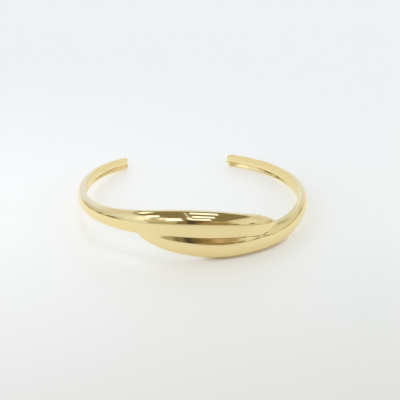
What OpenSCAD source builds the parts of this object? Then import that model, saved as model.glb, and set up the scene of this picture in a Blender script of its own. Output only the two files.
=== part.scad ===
// Open cuff bangle in one piece of polished gold-coloured metal.
// Two slim arms run round from an open gap at the back. Each widens at the front into
// a long domed leaf, one above the other, with a groove between them.
// It is drawn in the pose in which it rests on a table: +Z up, leaves towards -Y.

/* [Curve round the wrist] */
// Half width of the inner curve, side to side
half_width = 29; // [26:0.5:33]
// Half depth of the inner curve, front to back
half_depth = 27.1; // [24:0.1:31]
// Squareness of the inner curve: 2 is an ellipse
squareness = 2.19; // [2:0.01:2.5]
// Length of the left arm along the inner curve, from the middle of the front
left_length = 73.2; // [60:0.1:75]
// Length of the right arm along the inner curve
right_length = 78.4; // [60:0.1:79]
// How far the left arm is bent outwards by spread_length past spread_start
spread = 1.9; // [0:0.1:3]

/* [Leaves] */
// Length of the upper band past the middle of the front, to the point of its leaf
upper_reach = 22.2; // [18:0.1:23]
// Length of the lower band past the middle of the front, to the end of its leaf
lower_reach = 16; // [12:0.1:22]
// Length over which a leaf's end is rounded off
leaf_round = 9; // [5:0.5:14]
// Height of a band's dome where it has no width
crown_base = 1.5; // [1.2:0.05:2]
// Extra height of the dome for each millimetre of half width
crown_gain = 0.25; // [0.1:0.01:0.4]
// How much wider the lower side of the upper dome is, where it runs over the lower dome
overlap = 0.25; // [0:0.01:0.3]

/* [Section] */
// Height of the ground that carries both domes
ground = 0.8; // [0.5:0.05:1.1]
// Depth of the rounded rim inside the inner curve
rim_depth = 0.25; // [0.15:0.01:0.4]
// Width of the flat of the rim, beside the hollow
rim_width = 0.3; // [0.2:0.05:0.5]
// Depth of the hollow along the inner face
hollow = 0.42; // [0:0.01:0.45]
// Radius of the rounding of the two ends
end_round = 1.2; // [0.3:0.05:1.4]
// Width over which the edges of the two bands flow into one
edge_blend = 0.6; // [0.2:0.05:1]

/* [Rest on the table] */
// How far the leaves are lifted, in degrees
front_lift = 6.32; // [5:0.01:8]
// How far the right side is lifted, in degrees
side_lift = 0.63; // [0:0.01:2]

/* [Mesh] */
// Steps along the cuff
steps_along = 170; // [80:1:180]
// Steps over the front of the section, an even number
steps_over = 20; // [12:2:20]

/* [Hidden] */
gold = [0.93, 0.8, 0.5];

// Columns of the band tables: place along the band, with its leaf's end at the positive end,
// height of the band's middle, and half of its width.
ALONG = 0;
MIDDLE = 1;
HALF = 2;
upper_band = [
    [-79, -0.25, 1.75], [-66, 0.65, 1.65], [-56, 0.95, 1.6], [-45, 1.1, 1.85],
    [-34, 1.4, 2.2], [-24, 1.8, 2.6], [-14, 2.35, 3.25], [-5, 2.5, 3.7],
    [4, 2.02, 3.54], [12, 0.92, 3.08], [23, -1.45, 2.7]
];
lower_band = [
    [-79, 0.15, 1.65], [-66, -0.5, 1.8], [-56, -0.9, 1.85], [-45, -1.05, 2],
    [-34, -1.95, 2.45], [-24, -3.5, 3.01], [-14, -3.76, 3.45], [-5, -3.67, 3.67],
    [4, -2.41, 3.53], [12, -0.8, 2.99], [23, 0.9, 2.4]
];

spread_start = 40;   // length along the left arm at which it starts to bend outwards
spread_length = 30;
overlap_middle = 9.5; // place along the front at which the upper dome's lower side is widest
overlap_reach = 16;  // length to either side over which that widening fades out
dome_power = 6.5;    // how sharply one dome passes into the other
rim_power = 8;       // squareness of the rim's rounding
section_heart = 0.8; // distance outwards of the point that the ends shrink towards
groove_margin = 0.25; // least share of the height that is left above and below the groove row
end_steps = 4;       // steps over the rounding of an end
inner_rows = [0.96, 0.86, 0.6, 0.3, 0, -0.3, -0.6, -0.86, -0.96];

// Smooth curve through a table's column, a cubic between each pair of rows
function slope(table, column, row) =
    let (a = max(row - 1, 0), b = min(row + 1, len(table) - 1))
    (table[b][column] - table[a][column]) / (table[b][ALONG] - table[a][ALONG]);
function row_before(table, u, row = 0) =
    row >= len(table) - 2 || u < table[row + 1][ALONG] ? row : row_before(table, u, row + 1);
function smooth(table, column, u) =
    let (
        row = row_before(table, u),
        width = table[row + 1][ALONG] - table[row][ALONG],
        t = (u - table[row][ALONG]) / width,
        a = table[row][column],
        b = table[row + 1][column],
        p = slope(table, column, row) * width,
        q = slope(table, column, row + 1) * width
    )
    a + t * (p + t * (3 * (b - a) - 2 * p - q + t * (2 * (a - b) + p + q)));

// Inner curve: a rounded oval as distance from the centre at each angle, and its length
// from the middle of the front, so that a place along it gives back the angle
function radius(angle) =
    pow(pow(abs(cos(angle)) / half_width, squareness)
        + pow(abs(sin(angle)) / half_depth, squareness), -1 / squareness);
function on_curve(angle) = radius(angle) * [cos(angle), sin(angle)];
angle_step = 0.5;
side_angles = [for (a = [0:angle_step:180]) a - 90];
side_lengths = [
    for (i = 0, length = 0; i < len(side_angles);
        length = length + norm(on_curve(side_angles[i] + angle_step) - on_curve(side_angles[i])),
        i = i + 1) length
];
angle_table = [for (i = [0:len(side_angles) - 1]) [side_lengths[i], side_angles[i]]];
function angle_at(s) = s < 0 ? 180 - angle_at(-s) : lookup(s, angle_table);
function outward(p) =
    let (
        gx = sign(p[0]) * pow(abs(p[0]) / half_width, squareness - 1) / half_width,
        gy = sign(p[1]) * pow(abs(p[1]) / half_depth, squareness - 1) / half_depth
    )
    [gx, gy] / norm([gx, gy]);
function bend(s) = spread * pow(max(-s - spread_start, 0) / spread_length, 2);

// One band at u along it: [height of its middle, half width, height of its dome]
function end_share(u, reach) =
    let (t = min(max((reach - u) / leaf_round, 0), 1)) sqrt(1 - pow(1 - t, 2));
function band(table, reach, u) =
    let (
        v = min(u, reach),
        half = smooth(table, HALF, v),
        share = end_share(u, reach)
    )
    [smooth(table, MIDDLE, v), half * share, (crown_base + crown_gain * half) * share];
function dome(z, b, below = 1) =
    let (half = b[1] * (z < b[0] ? below : 1))
    half <= 0 ? 0 : b[2] * sqrt(max(0, 1 - pow((z - b[0]) / half, 2)));
function soft_max(a, b) = (a + b + sqrt(pow(a - b, 2) + pow(edge_blend, 2))) / 2;

// Section at s along the cuff, as [distance outwards, height] points, up the front and
// down the inner face; shrink draws it in towards its heart near an end
half_steps = steps_over / 2;
function ease(i) = (1 - cos(180 * i / half_steps)) / 2;
function section(s, shrink) =
    let (
        upper = band(upper_band, upper_reach, s),
        lower = band(lower_band, lower_reach, -s),
        top = soft_max(upper[0] + upper[1], lower[0] + lower[1]),
        bottom = -soft_max(upper[1] - upper[0], lower[1] - lower[0]),
        mid = (top + bottom) / 2,
        half = (top - bottom) / 2,
        below = 1 + overlap * max(0, 1 - pow((s - overlap_middle) / overlap_reach, 2)),
        groove_middle = (upper[0] - upper[1] * below + lower[0] + lower[1]) / 2,
        groove_share = (groove_middle - bottom) / (2 * half),
        groove = bottom + 2 * half * min(max(groove_share, groove_margin), 1 - groove_margin),
        heights = [
            for (i = [0:half_steps - 1]) bottom + (groove - bottom) * ease(i),
            for (i = [0:half_steps]) groove + (top - groove) * ease(i)
        ],
        front = [
            for (z = heights)
                let (
                    across = max(0, 1 - pow((z - mid) / half, 2)),
                    sum = pow(dome(z, upper, below), dome_power) + pow(dome(z, lower), dome_power)
                        + pow(ground * sqrt(across), dome_power)
                )
                [pow(sum, 1 / dome_power), z]
        ],
        back = [
            for (q = inner_rows)
                let (
                    rim = rim_depth * pow(1 - pow(abs(q), rim_power), 1 / rim_power),
                    dip = hollow * max(0, 1 - pow(half * q / (half - rim_width), 2))
                )
                [dip - rim, mid + half * q]
        ],
        keep = 1 - shrink / half,
        heart = [section_heart, mid]
    )
    [for (p = concat(front, back)) heart + keep * (p - heart)];

// Stations along the cuff, close together over the rounded ends: [place, shrink]
end_stations = [
    for (i = [0:end_steps - 1])
        let (a = 90 * i / end_steps)
        [end_round * (1 - cos(a)), end_round * (1 - sin(a))]
];
straight = left_length + right_length - 2 * end_round;
stations = [
    for (e = end_stations) [e[0] - left_length, e[1]],
    for (i = [0:steps_along]) [end_round - left_length + straight * i / steps_along, 0],
    for (i = [end_steps - 1:-1:0]) [right_length - end_stations[i][0], end_stations[i][1]]
];

// A point of a section placed on the curve, then turned into the pose at rest
function placed(p, s) =
    let (c = on_curve(angle_at(s)), n = outward(c))
    [c[0] + n[0] * (p[0] + bend(s)), c[1] + n[1] * (p[0] + bend(s)), p[1]];
function lifted(p) =
    let (
        y = p[1] * cos(front_lift) + p[2] * sin(front_lift),
        z = p[2] * cos(front_lift) - p[1] * sin(front_lift)
    )
    [p[0] * cos(side_lift) - z * sin(side_lift), y, z * cos(side_lift) + p[0] * sin(side_lift)];
rings = [for (st = stations) [for (p = section(st[0], st[1])) lifted(placed(p, st[0]))]];

// The origin is the middle of the cuff's box, on the table
function lowest(axis) = min([for (ring = rings) for (p = ring) p[axis]]);
function highest(axis) = max([for (ring = rings) for (p = ring) p[axis]]);
foot = [(lowest(0) + highest(0)) / 2, (lowest(1) + highest(1)) / 2, lowest(2)];
grounded = [for (ring = rings) [for (p = ring) p - foot]];

function total(values) = [for (v = values) 1] * values;
function middle(ring) = [for (axis = [0:2]) total([for (p = ring) p[axis]]) / len(ring)];

module cuff() {
    around = len(grounded[0]);
    last = len(grounded) - 1;
    end_middles = [middle(grounded[0]), middle(grounded[last])];
    corners = concat([for (ring = grounded) each ring], end_middles);
    left_cap = len(corners) - 2;
    right_cap = len(corners) - 1;
    skin = [
        for (i = [0:last - 1], j = [0:around - 1])
            let (
                a = i * around + j,
                b = i * around + (j + 1) % around
            )
            each [[a, b, b + around], [a, b + around, a + around]]
    ];
    caps = [
        for (j = [0:around - 1])
            let (k = (j + 1) % around)
            each [[left_cap, k, j], [right_cap, last * around + j, last * around + k]]
    ];
    color(gold)
        polyhedron(points = corners, faces = concat(skin, caps), convexity = 8);
}

cuff();
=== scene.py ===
import math

import bpy
import numpy as np
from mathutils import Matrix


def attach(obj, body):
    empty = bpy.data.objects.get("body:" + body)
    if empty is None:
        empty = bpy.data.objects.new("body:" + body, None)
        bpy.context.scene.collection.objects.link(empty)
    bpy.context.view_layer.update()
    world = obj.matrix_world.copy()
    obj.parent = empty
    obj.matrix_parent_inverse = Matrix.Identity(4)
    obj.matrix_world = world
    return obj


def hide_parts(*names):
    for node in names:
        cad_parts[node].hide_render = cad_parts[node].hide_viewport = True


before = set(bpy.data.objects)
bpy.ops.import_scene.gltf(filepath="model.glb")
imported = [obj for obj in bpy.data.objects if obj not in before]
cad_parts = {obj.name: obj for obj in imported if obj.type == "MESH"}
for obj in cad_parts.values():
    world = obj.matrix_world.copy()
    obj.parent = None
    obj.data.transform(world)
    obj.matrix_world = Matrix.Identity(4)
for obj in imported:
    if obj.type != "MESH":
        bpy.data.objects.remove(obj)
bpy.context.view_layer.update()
scene = bpy.context.scene
scene.view_settings.view_transform = "Standard"   # plain colours, with no film look


# The view: the camera stands in front of the leaves, a little to the left, and looks down
# on the cuff from 28 degrees with a long lens. It aims at a point of the table inside it.

MM = 0.001
PITCH, HEADING = math.radians(27.84), math.radians(3.18)   # down, and to the right
DISTANCE = 412.93 * MM
AIM = np.array([2.334, 5.99, 0.0]) * MM
FRAME_PIXELS, FOCAL_PIXELS = 400, 1500   # side of the picture, and focal length
NEAREST, FURTHEST = 0.01, 20             # that the camera sees, in metres

backwards = np.array([
    -math.cos(PITCH) * math.sin(HEADING),
    -math.cos(PITCH) * math.cos(HEADING),
    math.sin(PITCH),
])
camera_data = bpy.data.cameras.new("camera")
camera_data.lens = camera_data.sensor_width * FOCAL_PIXELS / FRAME_PIXELS
camera_data.clip_start, camera_data.clip_end = NEAREST, FURTHEST
camera = bpy.data.objects.new("camera", camera_data)
camera.location = AIM + DISTANCE * backwards
camera.rotation_euler = (math.pi / 2 - PITCH, 0, -HEADING)
scene.collection.objects.link(camera)
scene.camera = camera


# The cuff: one casting in brass, whose two slim arms run round from the gap at the back
# and widen at the front into long domed leaves, with a groove where these meet. It is
# filed to shape, polished to a mirror and gold plated. Its sizes are in millimetres.

HALF_WIDTH, HALF_DEPTH, SQUARENESS = 29.0, 27.1, 2.19   # of the curve round the wrist
LEFT_LENGTH, RIGHT_LENGTH = 73.2, 78.4                  # of the arms, from the front
SPREAD, SPREAD_START, SPREAD_LENGTH = 1.9, 40.0, 30.0   # of the left arm, outwards
UPPER_REACH, LOWER_REACH, LEAF_ROUND = 22.2, 16.0, 9.0  # of the leaves' ends
CROWN_BASE, CROWN_GAIN, GROUND = 1.5, 0.25, 0.8         # heights of domes and ground
RIM_DEPTH, RIM_WIDTH, HOLLOW = 0.25, 0.3, 0.42          # of the inner face
END_ROUND, SECTION_HEART = 1.2, 0.8                     # of the ends, and what they draw in to
EDGE_BLEND, GROOVE_MARGIN = 0.6, 0.25                   # where the two bands meet
DOME_POWER, RIM_POWER = 6.5, 8                          # how sharply the forms turn
OVERLAP, OVERLAP_MIDDLE, OVERLAP_REACH = 0.25, 9.5, 16  # of the upper dome, at the groove
FRONT_LIFT, SIDE_LIFT = math.radians(6.32), math.radians(0.63)   # as it rests

# Each band from its arm's end to its leaf, with these columns: place along it, height of
# its middle, and half of its width
ALONG, MIDDLE, HALF = 0, 1, 2
UPPER_BAND = np.array([
    (-79, -0.25, 1.75), (-66, 0.65, 1.65), (-56, 0.95, 1.6), (-45, 1.1, 1.85),
    (-34, 1.4, 2.2), (-24, 1.8, 2.6), (-14, 2.35, 3.25), (-5, 2.5, 3.7),
    (4, 2.02, 3.54), (12, 0.92, 3.08), (23, -1.45, 2.7),
])
LOWER_BAND = np.array([
    (-79, 0.15, 1.65), (-66, -0.5, 1.8), (-56, -0.9, 1.85), (-45, -1.05, 2),
    (-34, -1.95, 2.45), (-24, -3.5, 3.01), (-14, -3.76, 3.45), (-5, -3.67, 3.67),
    (4, -2.41, 3.53), (12, -0.8, 2.99), (23, 0.9, 2.4),
])

STATIONS, END_STATIONS = 760, 12         # along the cuff, and over each end
HALF_ROWS = 30                           # of the front, on each side of the groove
RIM_STEPS = (0.3, 0.5, 0.7, 0.85)        # shares of the rim's depth, for its rows
FLAT_ROWS, FLAT_EDGE = 10, 0.92          # of the inner face, from its middle to this share
OVAL_POINTS = 7201                       # by which the curve round the wrist is measured
TINY = 1e-6                              # keeps a division off zero


def smooth(table, column, u):
    """A cubic between each pair of rows, whose slope at a row is that of the line from the
    row before to the row after."""
    place, value = table[:, ALONG], table[:, column]
    before, after = np.r_[0, :len(place) - 1], np.r_[1:len(place), len(place) - 1]
    slope = (value[after] - value[before]) / (place[after] - place[before])
    i = np.clip(np.searchsorted(place, u, side="right") - 1, 0, len(place) - 2)
    width = place[i + 1] - place[i]
    t = (u - place[i]) / width
    a, b, p, q = value[i], value[i + 1], slope[i] * width, slope[i + 1] * width
    return a + t * (p + t * (3 * (b - a) - 2 * p - q + t * (2 * (a - b) + p + q)))


def wrist_curve(s):
    """The rounded oval |x / half width|^n + |y / half depth|^n = 1 at the length s from
    the middle of its front, and the direction square to it, as x, y, nx, ny."""
    def on_oval(angle):
        x, y = np.cos(angle), np.sin(angle)
        scale = ((np.abs(x) / HALF_WIDTH) ** SQUARENESS
                 + (np.abs(y) / HALF_DEPTH) ** SQUARENESS) ** (-1 / SQUARENESS)
        return scale * x, scale * y

    angles = np.linspace(-math.pi / 2, math.pi / 2, OVAL_POINTS)
    steps = np.hypot(*[np.diff(c) for c in on_oval(angles)])
    x, y = on_oval(np.interp(np.abs(s), np.r_[0, np.cumsum(steps)], angles))
    x = np.where(s < 0, -x, x)
    nx = np.sign(x) * (np.abs(x) / HALF_WIDTH) ** (SQUARENESS - 1) / HALF_WIDTH
    ny = np.sign(y) * (np.abs(y) / HALF_DEPTH) ** (SQUARENESS - 1) / HALF_DEPTH
    length = np.hypot(nx, ny)
    return x, y, nx / length, ny / length


def band(table, reach, u):
    """Middle, half width and dome height of a band at u. Its leaf's end is rounded as a
    circle is, by the share sqrt(1 - (1 - t)^2) of what is left of the rounding."""
    v = np.minimum(u, reach)
    share = np.sqrt(1 - (1 - np.clip((reach - u) / LEAF_ROUND, 0, 1)) ** 2)
    half = smooth(table, HALF, v)
    return smooth(table, MIDDLE, v), half * share, (CROWN_BASE + CROWN_GAIN * half) * share


def dome(z, middle, half, height, below=1.0):
    """Half an ellipse across a band, whose lower side is wider by the share below."""
    reach = half[:, None] * np.where(z < middle[:, None], below, 1)
    across = (z - middle[:, None]) / np.maximum(reach, TINY)
    return height[:, None] * np.sqrt(np.clip(1 - across ** 2, 0, 1))


def soft_max(a, b):
    """The larger of two numbers, with the corner between them rounded off."""
    return (a + b + np.sqrt((a - b) ** 2 + EDGE_BLEND ** 2)) / 2


def sections(s, shrink):
    """The cuff's closed section at each s, as rows of (distance outwards, height). The
    front is the root of the sum of high powers of both domes and the ground, the inner
    face a rounded rim with a shallow arc hollowed between its flats. At the groove the
    upper dome runs on over the lower one."""
    upper, lower = band(UPPER_BAND, UPPER_REACH, s), band(LOWER_BAND, LOWER_REACH, -s)
    top = soft_max(upper[0] + upper[1], lower[0] + lower[1])
    bottom = -soft_max(upper[1] - upper[0], lower[1] - lower[0])
    middle, half = ((top + bottom) / 2)[:, None], ((top - bottom) / 2)[:, None]
    below = 1 + OVERLAP * np.clip(1 - ((s - OVERLAP_MIDDLE) / OVERLAP_REACH) ** 2, 0, None)
    groove = (upper[0] - upper[1] * below + lower[0] + lower[1])[:, None] / 2
    share = (groove - middle + half) / (2 * half)
    groove = middle + half * (2 * np.clip(share, GROOVE_MARGIN, 1 - GROOVE_MARGIN) - 1)

    ease = (1 - np.cos(np.pi * np.arange(HALF_ROWS + 1) / HALF_ROWS)) / 2
    z = np.concatenate([
        middle - half + (groove - middle + half) * ease[:-1],
        groove + (middle + half - groove) * ease,
    ], axis=1)
    across = np.clip(1 - ((z - middle) / half) ** 2, 0, 1)
    out = (dome(z, *upper, below[:, None]) ** DOME_POWER + dome(z, *lower) ** DOME_POWER
           + (GROUND * np.sqrt(across)) ** DOME_POWER) ** (1 / DOME_POWER)

    edge = (1 - np.array(RIM_STEPS) ** RIM_POWER) ** (1 / RIM_POWER)
    q = np.r_[edge, np.linspace(FLAT_EDGE, -FLAT_EDGE, 2 * FLAT_ROWS + 1), -edge[::-1]]
    rim = RIM_DEPTH * (1 - np.abs(q) ** RIM_POWER) ** (1 / RIM_POWER)
    dip = HOLLOW * np.clip(1 - (half * q / (half - RIM_WIDTH)) ** 2, 0, None)
    out = np.concatenate([out, dip - rim], axis=1)
    z = np.concatenate([z, middle + half * q], axis=1)

    keep = 1 - shrink[:, None] / half
    return SECTION_HEART + keep * (out - SECTION_HEART), middle + keep * (z - middle)


def cuff_surface():
    """The sections carried along the wrist curve, the left arm bent outwards by a square
    law, the whole turned into the pose at rest and centred on the table. Near an end the
    section shrinks by a quarter circle."""
    turn = np.linspace(0, math.pi / 2, END_STATIONS, endpoint=False)
    inset, drawn_in = END_ROUND * (1 - np.cos(turn)), END_ROUND * (1 - np.sin(turn))
    s = np.r_[inset - LEFT_LENGTH,
              np.linspace(END_ROUND - LEFT_LENGTH, RIGHT_LENGTH - END_ROUND, STATIONS),
              (RIGHT_LENGTH - inset)[::-1]]
    shrink = np.r_[drawn_in, np.zeros(STATIONS), drawn_in[::-1]]
    out, z = sections(s, shrink)
    out += SPREAD * (np.clip(-s - SPREAD_START, 0, None) / SPREAD_LENGTH)[:, None] ** 2
    x, y, nx, ny = [c[:, None] for c in wrist_curve(s)]
    x, y = x + nx * out, y + ny * out
    y, z = (y * math.cos(FRONT_LIFT) + z * math.sin(FRONT_LIFT),
            z * math.cos(FRONT_LIFT) - y * math.sin(FRONT_LIFT))
    x, z = (x * math.cos(SIDE_LIFT) - z * math.sin(SIDE_LIFT),
            z * math.cos(SIDE_LIFT) + x * math.sin(SIDE_LIFT))
    points = np.stack([x, y, z], axis=-1)
    low, high = points.min(axis=(0, 1)), points.max(axis=(0, 1))
    return points - [(low[0] + high[0]) / 2, (low[1] + high[1]) / 2, low[2]]


def closed_tube(name, points):
    """A grid of (rings, points round, 3) as one closed mesh of four-sided faces, with each
    end closed by a fan round the middle of its last ring."""
    rings, around = points.shape[:2]
    middles = points[[0, -1]].mean(axis=1)
    places = np.concatenate([points.reshape(-1, 3), middles])
    i, j = np.meshgrid(np.arange(rings - 1) * around, np.arange(around), indexing="ij")
    k = (j + 1) % around
    skin = np.stack([i + j, i + k, i + around + k, i + around + j], axis=-1).reshape(-1, 4)
    j, k = np.arange(around), (np.arange(around) + 1) % around
    last = (rings - 1) * around
    left = np.stack([np.full(around, rings * around), k, j], axis=-1)
    right = np.stack([np.full(around, rings * around + 1), last + j, last + k], axis=-1)
    mesh = bpy.data.meshes.new(name)
    mesh.from_pydata(places.tolist(), [], skin.tolist() + left.tolist() + right.tolist())
    mesh.polygons.foreach_set("use_smooth", np.ones(len(mesh.polygons), dtype=bool))
    piece = bpy.data.objects.new(name, mesh)
    scene.collection.objects.link(piece)
    return piece


cuff = closed_tube("cuff_polished", cuff_surface() * MM)


class Link:
    """A socket of a node tree. Sums, differences, products and quotients of links and
    numbers add their Math nodes, so a pattern is written as an expression."""

    def __init__(self, tree, socket):
        self.tree, self.socket = tree, socket

    def node(self, kind, settings=None, output=0, **inputs):
        """Any other node, from its type, its settings and its sockets' values or links. A
        socket goes by its name, or by its number, such as i0, where names repeat."""
        made = self.tree.nodes.new(kind)
        for name, value in (settings or {}).items():
            setattr(made, name, value)
        for name, value in inputs.items():
            socket = made.inputs[int(name[1:]) if name[1:].isdigit() else name.replace("_", " ")]
            if isinstance(value, Link):
                self.tree.links.new(value.socket, socket)
            else:
                socket.default_value = value
        return Link(self.tree, made.outputs[output])

    def math(self, operation, *values, clamp=False):
        inputs = {f"i{n}": value for n, value in enumerate(values)}
        return self.node("ShaderNodeMath", {"operation": operation, "use_clamp": clamp},
                         **inputs)

    def between(self, low, high, soft):
        """1 between two numbers and 0 outside, over a soft edge."""
        rise = self.math("DIVIDE", self - (low - soft / 2), soft, clamp=True)
        fall = self.math("DIVIDE", (high + soft / 2) - self, soft, clamp=True)
        return rise * fall

    def mix(self, a, b):
        """Colour a where this is 0, and b where it is 1, by the colour sockets of a Mix
        node, which come after those for numbers and vectors."""
        return self.node("ShaderNodeMix", {"data_type": "RGBA"}, output=2,
                         i0=self, i6=a, i7=b)

    def __add__(self, other):
        return self.math("ADD", self, other)

    def __radd__(self, other):
        return self.math("ADD", other, self)

    def __sub__(self, other):
        return self.math("SUBTRACT", self, other)

    def __rsub__(self, other):
        return self.math("SUBTRACT", other, self)

    def __mul__(self, other):
        return self.math("MULTIPLY", self, other)

    def __rmul__(self, other):
        return self.math("MULTIPLY", other, self)

    def __truediv__(self, other):
        return self.math("DIVIDE", self, other)


def material(name):
    """A new material with one Principled shader, as (material, shader, start of links)."""
    made = bpy.data.materials.new(name)
    made.use_nodes = True
    shader = made.node_tree.nodes["Principled BSDF"]
    return made, shader, Link(made.node_tree, None)


def join(link, socket):
    link.tree.links.new(link.socket, socket)


# Gold plate over brass: pale yellow, a little deeper where the plate is thicker, with the
# faint haze and hair lines that a polishing mop leaves on a mirror finish.
PALE_GOLD, DEEP_GOLD = (0.97, 0.815, 0.455, 1), (0.95, 0.78, 0.405, 1)
TONE_SCALE, HAZE_SCALE = 160.0, 420.0
HAIR_SCALE = (700.0, 700.0, 9000.0)     # finest upwards, so that the hairs run round
HAIR_STRENGTH, HAIR_HEIGHT = 0.02, 0.0001
MIRROR_ROUGHNESS, HAZE_ROUGHNESS = 0.03, 0.05

gold, shader, start = material("gold_plate")
place = start.node("ShaderNodeTexCoord", output="Object")
tone_and_painted_shade = start.node("ShaderNodeTexNoise", i0=place, Scale=TONE_SCALE, Detail=2.0)
haze = start.node("ShaderNodeTexNoise", i0=place, Scale=HAZE_SCALE, Detail=4.0)
drawn_out = start.node("ShaderNodeVectorMath", {"operation": "MULTIPLY"},
                       i0=place, i1=HAIR_SCALE)
hair_lines = start.node("ShaderNodeTexNoise", i0=drawn_out, Scale=1.0, Detail=3.0)
join(tone_and_painted_shade.mix(PALE_GOLD, DEEP_GOLD), shader.inputs["Base Color"])
join(MIRROR_ROUGHNESS + HAZE_ROUGHNESS * haze, shader.inputs["Roughness"])
join(start.node("ShaderNodeBump", Strength=HAIR_STRENGTH, Distance=HAIR_HEIGHT,
                Height=hair_lines), shader.inputs["Normal"])
shader.inputs["Metallic"].default_value = 1.0
cuff.data.materials.append(gold)
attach(cuff, "root")
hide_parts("cuff")


# The table: a plain sheet of pale card, far wider than the view, on which the cuff lies.
# It is painted whitest on the left, where the light falls, and painted darker to the right,
# front and back.

TABLE_HALF = 3.0                           # metres from its middle to each side
# Painted light and shade: the card's colour is lighter on the left and darker to the right,
# front and back
LEFT_LIT_WHITE, RIGHT_SHADED_WHITE = (0.95, 0.965, 0.955, 1), (0.87, 0.89, 0.872, 1)
FRONT_SHADE, BACK_SHADE = (0.45, 0.43, 0.34, 1), (0.85, 0.88, 0.88, 1)
RIGHT_START, RIGHT_LENGTH = -0.05, 0.09    # where each tone sets in, and how far it
FRONT_START, FRONT_LENGTH = -0.01, 0.29    # takes to be full, in metres
BACK_START, BACK_LENGTH = 0.02, 0.08
CARD_ROUGHNESS = 0.5
BLACK = (0.0, 0.0, 0.0, 1)
# The card gives off a little light of its own, a painted glow for the room's light from all
# round, less in a painted soft shadow beside the cuff, which is deepest in front on the left.
# Where the front of the cuff touches the card, a thin brown line of painted shadow is mixed in.
GLOW, SHADOW_REACH, EVEN_SHARE, LEFT_SHARE = 0.38, 0.007, 0.15, 1.2
# Painted shadow: the brown line where the cuff touches the card, with its reach and its fade
# towards the back
CONTACT_SHADOW_TONE, CONTACT_SHADOW_REACH, FRONT_SHADOW_FADE = (0.58, 0.50, 0.40, 1), 0.0008, 0.02
NEARNESS_RAYS = 8                          # that feel for the cuff from each point

table_mesh = bpy.data.meshes.new("table")
table_mesh.from_pydata([(x * TABLE_HALF, y * TABLE_HALF, 0)
                        for x, y in ((-1, -1), (1, -1), (1, 1), (-1, 1))],
                       [], [(0, 1, 2, 3)])
table = bpy.data.objects.new("table", table_mesh)
scene.collection.objects.link(table)
card, shader, start = material("pale_card")
place = start.node("ShaderNodeTexCoord", output="Object")
x, y = [start.node("ShaderNodeSeparateXYZ", output=axis, Vector=place) for axis in "XY"]
to_right = start.math("DIVIDE", x - RIGHT_START, RIGHT_LENGTH, clamp=True)
to_front = start.math("DIVIDE", FRONT_START - y, FRONT_LENGTH, clamp=True)
to_back = start.math("DIVIDE", y - BACK_START, BACK_LENGTH, clamp=True)
# painted light on the left, and painted shade towards the right and the back
side_light_and_shade = to_back.mix(to_right.mix(LEFT_LIT_WHITE, RIGHT_SHADED_WHITE), BACK_SHADE)
in_contact_shadow, in_shadow = [
    1 - start.node("ShaderNodeAmbientOcclusion", {"samples": NEARNESS_RAYS}, output="AO",
                   Distance=reach)
    for reach in (CONTACT_SHADOW_REACH, SHADOW_REACH)
]
in_front = start.math("DIVIDE", 0 - y, FRONT_SHADOW_FADE, clamp=True)
# the card's colour, with painted shade towards the front and the painted brown contact shadow
# mixed in
tone_and_painted_shade = (in_front * in_contact_shadow).mix(to_front.mix(side_light_and_shade, FRONT_SHADE), CONTACT_SHADOW_TONE)
join(tone_and_painted_shade, shader.inputs["Base Color"])
# the card's painted glow, dimmed by a painted soft shadow near the cuff
shadow = EVEN_SHARE + LEFT_SHARE * in_front * (1 - to_right)
lit = GLOW * (1 - shadow * in_shadow)
join(lit.mix(BLACK, tone_and_painted_shade), shader.inputs["Emission Color"])
shader.inputs["Emission Strength"].default_value = 1.0
shader.inputs["Roughness"].default_value = CARD_ROUGHNESS
table.data.materials.append(card)


# The studio: white screens stand to the left, to the right and behind, and the room towards
# the camera is dim, with rows of slim tube lights. A view that looks past the table's edge
# sees a plain pale backdrop instead.

# Everything is placed by two angles in degrees: across is to the right of the way to the
# camera, and above is up from it and on over the top.
SCREENS = (0.75, 0.81, 0.92, 1)                      # where nothing else stands
BEHIND = (0.83, 0.92, 1.10, 1)                       # of the screen behind
BEHIND_FROM, BEHIND_TO, BEHIND_SOFT = 112, 400, 10   # above, and its soft edge
BACKDROP = (0.86, 0.88, 0.88, 1)
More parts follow.
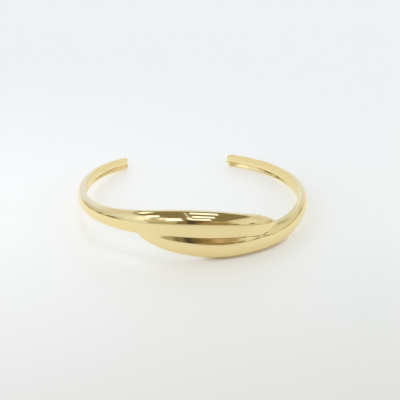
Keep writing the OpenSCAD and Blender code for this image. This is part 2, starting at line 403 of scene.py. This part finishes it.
# What stands in the room, each thing in front of those before it: left, right, bottom, top,
# lean to the right for each degree up, soft edge, colour and brightness
ROOM = (
    (-180, -105, 10, 150, 0, 12, (0.78, 0.88, 1.15, 1)),    # whiter part of the left screen
    (-138, -84, 17, 58, 0, 14, (0.67, 0.68, 0.69, 1)),      # and its dimmer lower part
    (-90, -62, 58, 125, 0, 12, (0.72, 0.71, 0.70, 1)),      # and its dimmer front edge
    (98, 126, 24, 92, 0, 6, (0.67, 0.68, 0.66, 1)),         # dimmer part of the right screen
    (-140, -60, -4, 18, 0, 8, (0.60, 0.57, 0.42, 1)),       # low gaps under the screens
    (78, 140, -4, 20, 0, 8, (0.60, 0.54, 0.42, 1)),
    (-60, 70, -12, 123, 0, 10, (0.245, 0.214, 0.134, 1)),   # dim ceiling
    (75, 98, 100, 135, -1.2, 5, (0.75, 0.81, 0.92, 1)),     # and its cut corner
    (-66, -35, -12, 56, 0, 5, (0.86, 0.90, 0.96, 1)),       # white wall on the left
    (-72, -54, 40, 68, 0, 8, (0.80, 0.82, 0.84, 1)),        # and its top corner
    (-51, -36, 15, 47, 0, 4, (1.02, 1.1, 1.2, 1)),          # bright window in it
    (-36, -20, 20, 44, 0, 5, (0.56, 0.55, 0.46, 1)),        # dimmer wall beside the window
    (7.8, 75, -12, 84, 0.72, 5, (0.75, 0.74, 0.70, 1)),     # wall on the right
    (90, 99, 48, 108, -0.5, 4, (0.57, 0.58, 0.50, 1)),      # beam beside the ceiling
    (73, 79, 84, 106, -0.45, 4, (0.44, 0.44, 0.36, 1)),     # and a darker one
    (-66, -42, 7, 12, 0, 4, (0.64, 0.66, 0.66, 1)),         # doorway
    (-41, -9, 8, 22, 0, 4, (0.58, 0.54, 0.46, 1)),          # wall beside it
    (-36, -9, -2, 11, 0, 4, (0.44, 0.43, 0.31, 1)),         # and its foot
    (7, 34, -2, 13, 0, 4, (0.33, 0.25, 0.13, 1)),           # wooden cupboards
    (34, 43, -2, 10, 0, 4, (0.34, 0.28, 0.15, 1)),
    (54, 72, 24, 41, 0, 6, (0.87, 0.84, 0.88, 1)),          # things along the right wall
    (43, 58, 3, 12, 0, 3, (0.80, 0.80, 0.78, 1)),
    (43, 59, -7, 2.5, 0, 2.5, (0.26, 0.21, 0.12, 1)),
    (59, 66, -7, 1, 0, 4, (0.50, 0.46, 0.36, 1)),
    (64, 80, -6, 3, 0, 4, (0.46, 0.41, 0.30, 1)),
    (43, 55, 12, 20, 0, 6, (0.84, 0.82, 0.76, 1)),
    (54.5, 64, 7, 14.5, 0, 3, (0.20, 0.17, 0.11, 1)),
    (66.5, 73, -4, 3, 0, 3, (0.30, 0.26, 0.20, 1)),
    (17, 38, 13, 21, 0, 4, (0.44, 0.35, 0.20, 1)),          # shelf over the cupboards
    (20, 25, 13, 21, 0, 2, (0.56, 0.44, 0.28, 1)),          # and a paler thing on it
    (7, 11, 8, 24, 0, 2, (0.17, 0.11, 0.06, 1)),            # camera on its stand
    (11, 16, 16, 24, 0, 2, (0.26, 0.17, 0.10, 1)),
    (-7, -4.5, 2, 24, 0, 1.5, (0.19, 0.18, 0.17, 1)),
    (0, 7, -2, 24, 0, 3, (0.08, 0.07, 0.05, 1)),
    (-104, -95, 9, 19, 0, 3, (0.20, 0.20, 0.15, 1)),        # gaps under the left screen
    (-88, -75, 7, 17, 0, 3, (0.15, 0.15, 0.10, 1)),
    (-136, -112, 14, 21, 0, 4, (0.40, 0.40, 0.34, 1)),
    (116, 128, 15, 34, 0, 5, (0.42, 0.42, 0.38, 1)),        # edge of the right screen
)
# Tube lights: across and above of one end and of the other, width, share of the full
# brightness
TUBES = (
    (-52, 81, -43, 104, 11, 1), (-42, 51.5, -28.5, 51.5, 15, 1), (-20, 26.5, -4, 28, 17, 1),
    (-28, 30.5, -20, 29, 8, 0.7), (5, 88, 33, 86, 21, 1), (6, 50.5, 24, 50, 13, 1),
    (4, 30, 18.5, 30.5, 9, 1), (-0.5, 97, 2.6, 40, 2, 0.4), (2.4, 42, 3.8, 28, 4, 0.8),
)
TUBE_LIGHT = (1.6, 1.6, 1.9, 1)
TUBE_SOFT = 2                                        # degrees over which an edge fades

world = bpy.data.worlds.new("studio")
world.use_nodes = True
scene.world = world
background = world.node_tree.nodes["Background"]
start = Link(world.node_tree, None)
towards = start.node("ShaderNodeTexCoord", output="Generated")
turned = start.node("ShaderNodeVectorRotate", {"rotation_type": "Z_AXIS"},
                    Vector=towards, Angle=HEADING)
right, depth, up = [start.node("ShaderNodeSeparateXYZ", output=axis, Vector=turned)
                    for axis in "XYZ"]
from_camera = start.math("ARCCOSINE", 0 - depth) * math.degrees(1)
off_axis = start.math("SQRT", right * right + up * up) + TINY
across = from_camera * right / off_axis
above = from_camera * up / off_axis

light = above.between(BEHIND_FROM, BEHIND_TO, BEHIND_SOFT).mix(SCREENS, BEHIND)
for left_edge, right_edge, bottom, top, lean, soft, brightness in ROOM:
    inside = ((across - lean * (above - bottom)).between(left_edge, right_edge, soft)
              * above.between(bottom, top, soft))
    light = inside.mix(light, brightness)
for near_across, near_above, far_across, far_above, width, share in TUBES:
    run, rise = far_across - near_across, far_above - near_above
    length = math.hypot(run, rise)
    run, rise = run / length, rise / length
    along = (across - near_across) * run + (above - near_above) * rise
    aside = (above - near_above) * run - (across - near_across) * rise
    inside = (along.between(0, length, TUBE_SOFT)
              * aside.between(-width / 2, width / 2, TUBE_SOFT))
    light = (share * inside).mix(light, TUBE_LIGHT)
seen = start.node("ShaderNodeLightPath", output="Is Camera Ray")
join(seen.mix(light, BACKDROP), background.inputs["Color"])
